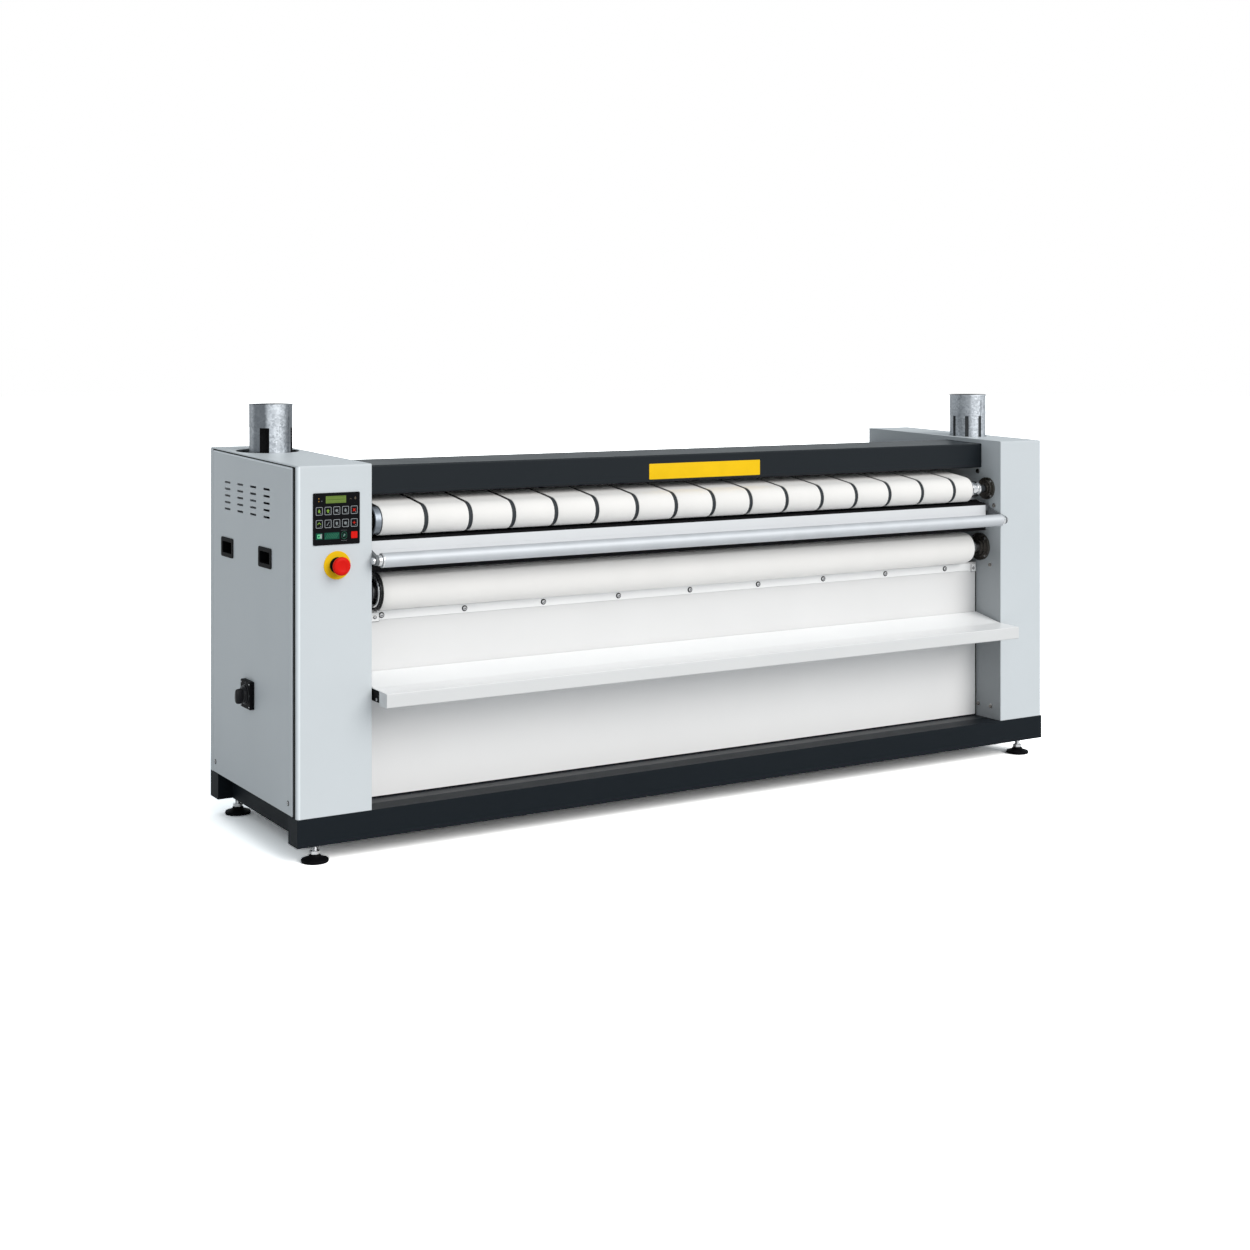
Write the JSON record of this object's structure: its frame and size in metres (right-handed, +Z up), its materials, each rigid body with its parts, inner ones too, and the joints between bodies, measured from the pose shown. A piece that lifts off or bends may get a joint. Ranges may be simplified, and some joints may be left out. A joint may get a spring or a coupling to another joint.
{
  "type": "flatwork ironer",
  "caption": "Roller ironer for flat linen: two grey cabinets on a dark base hold belts, rollers and a heated cylinder behind a feed plate, with a white linen shelf below.",
  "frame": {"origin": "centre of the bounding box on the floor, under the feet", "axes": "+X to the right along the front, -Y out of the front, +Z up"},
  "size_m": [3.289, 0.948, 1.47],
  "materials": {
    "base_paint": "satin anthracite paint",
    "foot_black": "black moulded pad",
    "cabinet_paint": "fine satin light grey paint",
    "galvanized": "galvanized sheet with spangle",
    "fan_metal": "plain pressed aluminium",
    "hood_paint": "satin anthracite paint",
    "cover_paint": "fine satin light grey paint",
    "white_paint": "smooth white enamel",
    "screw_steel": "zinc-plated steel",
    "bracket_black": "dark grey paint",
    "belt_cloth": "woven white felt belt",
    "polished_steel": "polished steel",
    "roller_rubber": "dark roller covering",
    "roller_steel": "dark machined steel",
    "pad_cloth": "smooth white padding cloth",
    "bearing_iron": "dark machined casting",
    "feed_aluminium": "silver anodized aluminium",
    "motor_paint": "blue-grey machine paint",
    "chain_steel": "oiled steel",
    "board_steel": "grey electrical housings",
    "control_black": "fine matt black",
    "display_glass": "olive green display",
    "signal_red": "glossy red",
    "signal_yellow": "signal yellow"
  },
  "bodies": {
    "frame": {"base_front_beam": "base_paint", "base_rear_beam": "base_paint", "base_side_rails": "base_paint", "base_pan": "base_paint", "left_side_frame": "cabinet_paint", "left_casing": "cabinet_paint", "left_service_panel": "cabinet_paint", "left_fan_housing": "galvanized", "left_exhaust_duct": "galvanized", "right_side_frame": "cabinet_paint", "right_casing": "cabinet_paint", "right_service_panel": "cabinet_paint", "right_fan_housing": "galvanized", "right_exhaust_duct": "galvanized", "cabinet_rear_covers": "cabinet_paint", "hood": "hood_paint", "top_cover": "hood_paint", "rear_cover": "cover_paint", "front_panel": "white_paint", "panel_clamp_strip": "white_paint", "strip_screws": "screw_steel", "linen_shelf": "white_paint", "wall_brackets": "bracket_black", "ironing_belts": "belt_cloth", "roller_bearings": "bearing_iron", "cylinder_bearings": "bearing_iron", "feed_plate": "feed_aluminium", "tube_axles": "screw_steel", "drive_motor": "motor_paint", "gearbox": "motor_paint", "drive_chain": "chain_steel", "burner_tube": "polished_steel", "control_board": "board_steel", "control_panel": "control_black", "display_window": "display_glass", "estop_plate": "signal_yellow", "estop_body": "control_black", "main_switch_plate": "control_black", "cup_handles": "control_black", "casing_screws": "screw_steel"},
    "foot_front_left": {"foot_front_left": "foot_black"},
    "foot_front_right": {"foot_front_right": "foot_black"},
    "foot_rear_left": {"foot_rear_left": "foot_black"},
    "foot_rear_right": {"foot_rear_right": "foot_black"},
    "cylinder": {"ironing_cylinder": "polished_steel", "cylinder_sprocket": "chain_steel"},
    "upper_roller": {"upper_roller": "roller_rubber"},
    "delivery_roller": {"lower_roller": "roller_steel", "lower_roller_pad": "pad_cloth"},
    "rear_top_roller": {"rear_top_roller": "polished_steel"},
    "rear_bottom_roller": {"rear_bottom_roller": "polished_steel"},
    "lower_belt_roller": {"lower_belt_roller": "polished_steel"},
    "feed_tube": {"feed_tube": "feed_aluminium"},
    "drive_sprocket": {"drive_sprocket": "chain_steel"},
    "left_fan": {"left_fan_wheel": "fan_metal"},
    "right_fan": {"right_fan_wheel": "fan_metal"},
    "stop_key": {"stop_key": "signal_red"},
    "estop_plunger": {"estop_plunger": "screw_steel"},
    "estop_head": {"estop_head": "signal_red"},
    "main_switch_knob": {"main_switch_knob": "control_black"}
  },
  "joints": [
    {"name": "cylinder_spin", "type": "hinge", "parent": "frame", "child": "cylinder", "pos_m": [0, 0.071, 0.895], "axis": [1, 0, 0], "continuous": true},
    {"name": "upper_roller_spin", "type": "hinge", "parent": "frame", "child": "upper_roller", "pos_m": [0, -0.286, 1.093], "axis": [1, 0, 0], "continuous": true},
    {"name": "delivery_roller_spin", "type": "hinge", "parent": "frame", "child": "delivery_roller", "pos_m": [0, -0.246, 0.852], "axis": [1, 0, 0], "continuous": true},
    {"name": "rear_top_roller_spin", "type": "hinge", "parent": "frame", "child": "rear_top_roller", "pos_m": [0, 0.391, 1.196], "axis": [1, 0, 0], "continuous": true},
    {"name": "rear_bottom_roller_spin", "type": "hinge", "parent": "frame", "child": "rear_bottom_roller", "pos_m": [0, 0.386, 0.61], "axis": [1, 0, 0], "continuous": true},
    {"name": "lower_belt_roller_spin", "type": "hinge", "parent": "frame", "child": "lower_belt_roller", "pos_m": [0, -0.124, 0.59], "axis": [1, 0, 0], "continuous": true},
    {"name": "drive_sprocket_spin", "type": "hinge", "parent": "frame", "child": "drive_sprocket", "pos_m": [-1.4615, 0.071, 0.42], "axis": [1, 0, 0], "continuous": true},
    {"name": "feed_tube_spin", "type": "hinge", "parent": "frame", "child": "feed_tube", "pos_m": [0, -0.389, 0.972], "axis": [1, 0, 0], "continuous": true},
    {"name": "left_fan_spin", "type": "hinge", "parent": "frame", "child": "left_fan", "pos_m": [-1.466, 0.214, 1.18], "axis": [1, 0, 0], "continuous": true},
    {"name": "right_fan_spin", "type": "hinge", "parent": "frame", "child": "right_fan", "pos_m": [1.529, -0.044, 1.18], "axis": [1, 0, 0], "continuous": true},
    {"name": "foot_front_left_turn", "type": "hinge", "parent": "frame", "child": "foot_front_left", "pos_m": [-1.5125, -0.309, 0.03], "axis": [0, 0, 1], "continuous": true},
    {"name": "foot_front_right_turn", "type": "hinge", "parent": "frame", "child": "foot_front_right", "pos_m": [1.5595, -0.309, 0.03], "axis": [0, 0, 1], "continuous": true},
    {"name": "foot_rear_left_turn", "type": "hinge", "parent": "frame", "child": "foot_rear_left", "pos_m": [-1.5125, 0.419, 0.03], "axis": [0, 0, 1], "continuous": true},
    {"name": "foot_rear_right_turn", "type": "hinge", "parent": "frame", "child": "foot_rear_right", "pos_m": [1.5595, 0.419, 0.03], "axis": [0, 0, 1], "continuous": true},
    {"name": "stop_key_press", "type": "slide", "parent": "frame", "child": "stop_key", "axis": [0, 1, 0], "range_m": [0, 0.0015], "stiffness_N_per_m": 1500},
    {"name": "estop_push", "type": "slide", "parent": "frame", "child": "estop_plunger", "axis": [0, 1, 0], "range_m": [0, 0.005]},
    {"name": "estop_twist", "type": "hinge", "parent": "estop_plunger", "child": "estop_head", "pos_m": [-1.4585, -0.3905, 0.963], "axis": [0, 1, 0], "range_deg": [0, 45], "stiffness_Nm_per_rad": 0.05},
    {"name": "main_switch_turn", "type": "hinge", "parent": "frame", "child": "main_switch_knob", "pos_m": [-1.5945, 0.075, 0.49], "axis": [1, 0, 0], "range_deg": [0, 90]}
  ],
  "couplings": [
    {"joint": "upper_roller_spin", "follows": "cylinder_spin", "ratio": -5.1598},
    {"joint": "rear_top_roller_spin", "follows": "cylinder_spin", "ratio": -6.0239},
    {"joint": "rear_bottom_roller_spin", "follows": "cylinder_spin", "ratio": -6.8424},
    {"joint": "lower_belt_roller_spin", "follows": "cylinder_spin", "ratio": -6.8424},
    {"joint": "delivery_roller_spin", "follows": "cylinder_spin", "ratio": -3.8462},
    {"joint": "drive_sprocket_spin", "follows": "cylinder_spin", "ratio": 3.5385}
  ]
}
